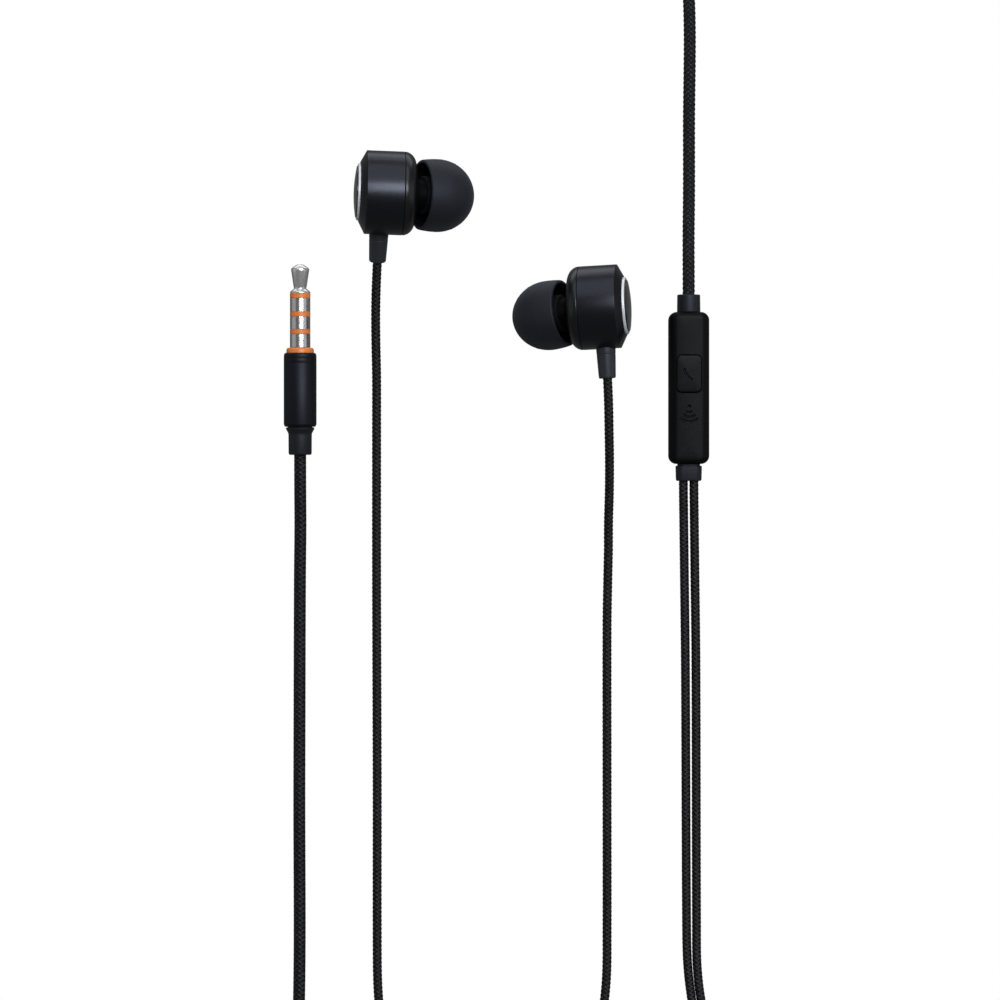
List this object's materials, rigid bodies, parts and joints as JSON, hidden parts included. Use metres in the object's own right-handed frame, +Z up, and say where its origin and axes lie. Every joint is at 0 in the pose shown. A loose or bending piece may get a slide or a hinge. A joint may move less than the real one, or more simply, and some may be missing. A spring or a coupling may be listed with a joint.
{
  "type": "wired earphones",
  "caption": "Wired in-ear earphones with silicone ear tips, braided cords, an in-line remote with microphone and a 3.5 mm plug.",
  "frame": {"origin": "middle of the ground rectangle under the two buds and the remote, on the surface they lie on", "axes": "+X from the left bud to the remote, +Y from the cords' lower ends towards the buds, +Z up from the surface"},
  "size_m": [0.1264, 0.2119, 0.0171],
  "materials": {
    "satin_shell": "satin",
    "front_shell_gloss": "semi-gloss",
    "bright_ring": "polished",
    "gloss_plate": "gloss",
    "steel_mesh": "woven",
    "silicone_tip": "matt",
    "foam": "foam",
    "frame_metal": "satin",
    "film": "satin",
    "copper": "satin",
    "iron": "satin",
    "magnet_nickel": "polished",
    "board": "gloss",
    "felt": "matt",
    "soft_rubber": "matt",
    "remote_plastic": "matt",
    "button_plastic": "satin",
    "switch_metal": "satin",
    "chip": "matt",
    "contact_nickel": "polished",
    "orange_plastic": "semi-gloss",
    "satin_barrel": "satin",
    "braid": "braided",
    "tie_strap": "hook-and-loop"
  },
  "bodies": {
    "root": {"left_housing": "satin_shell", "left_front_shell": "front_shell_gloss", "left_trim_ring": "bright_ring", "left_face_plate": "gloss_plate", "left_nozzle_mesh": "steel_mesh", "left_driver_gasket": "foam", "left_driver_frame": "frame_metal", "left_pole_plate": "iron", "left_magnet": "magnet_nickel", "left_yoke": "iron", "left_terminal_board": "board", "left_damping_felt": "felt", "left_strain_relief": "soft_rubber", "left_lead_wires": "copper", "right_housing": "satin_shell", "right_front_shell": "front_shell_gloss", "right_trim_ring": "bright_ring", "right_face_plate": "gloss_plate", "right_nozzle_mesh": "steel_mesh", "right_driver_gasket": "foam", "right_driver_frame": "frame_metal", "right_pole_plate": "iron", "right_magnet": "magnet_nickel", "right_yoke": "iron", "right_terminal_board": "board", "right_damping_felt": "felt", "right_strain_relief": "soft_rubber", "right_lead_wires": "copper", "remote_front_shell": "remote_plastic", "remote_back_shell": "remote_plastic", "remote_board": "board", "switch_body": "switch_metal", "microphone": "switch_metal", "mic_gasket": "foam", "board_chips": "chip", "remote_top_collar": "soft_rubber", "remote_low_collar": "soft_rubber", "remote_wires": "copper", "plug_tip": "contact_nickel", "plug_rings": "contact_nickel", "plug_sleeve": "contact_nickel", "plug_insulators": "orange_plastic", "plug_core": "orange_plastic", "plug_barrel": "satin_barrel", "plug_tail": "soft_rubber", "main_cord": "braid", "left_cord": "braid", "right_cord": "braid", "main_coil": "braid", "left_coil": "braid", "right_coil": "braid", "cord_ties": "tie_strap"},
    "left_tip": {"left_ear_tip": "silicone_tip"},
    "left_cone": {"left_diaphragm": "film", "left_voice_coil": "copper"},
    "right_tip": {"right_ear_tip": "silicone_tip"},
    "right_cone": {"right_diaphragm": "film", "right_voice_coil": "copper"},
    "button": {"remote_button": "button_plastic"},
    "plunger": {"switch_plunger": "button_plastic"}
  },
  "joints": [
    {"name": "left_tip_pull", "type": "slide", "parent": "root", "child": "left_tip", "axis": [0.933, -0.0326, -0.3584], "range_m": [0, 0.007]},
    {"name": "right_tip_pull", "type": "slide", "parent": "root", "child": "right_tip", "axis": [-0.9059, -0.1379, -0.4005], "range_m": [0, 0.007]},
    {"name": "left_cone_stroke", "type": "slide", "parent": "root", "child": "left_cone", "axis": [0.997, -0.0348, -0.0698], "range_m": [-0.00015, 0.00015], "stiffness_N_per_m": 400},
    {"name": "right_cone_stroke", "type": "slide", "parent": "root", "child": "right_cone", "axis": [-0.9901, -0.0519, -0.1305], "range_m": [-0.00015, 0.00015], "stiffness_N_per_m": 400},
    {"name": "button_press", "type": "slide", "parent": "root", "child": "button", "axis": [0, 0, -1], "range_m": [0, 0.00025], "stiffness_N_per_m": 4000},
    {"name": "plunger_press", "type": "slide", "parent": "root", "child": "plunger", "axis": [0, 0, -1], "range_m": [0, 0.00025]}
  ],
  "couplings": [
    {"joint": "plunger_press", "follows": "button_press", "ratio": 1}
  ]
}
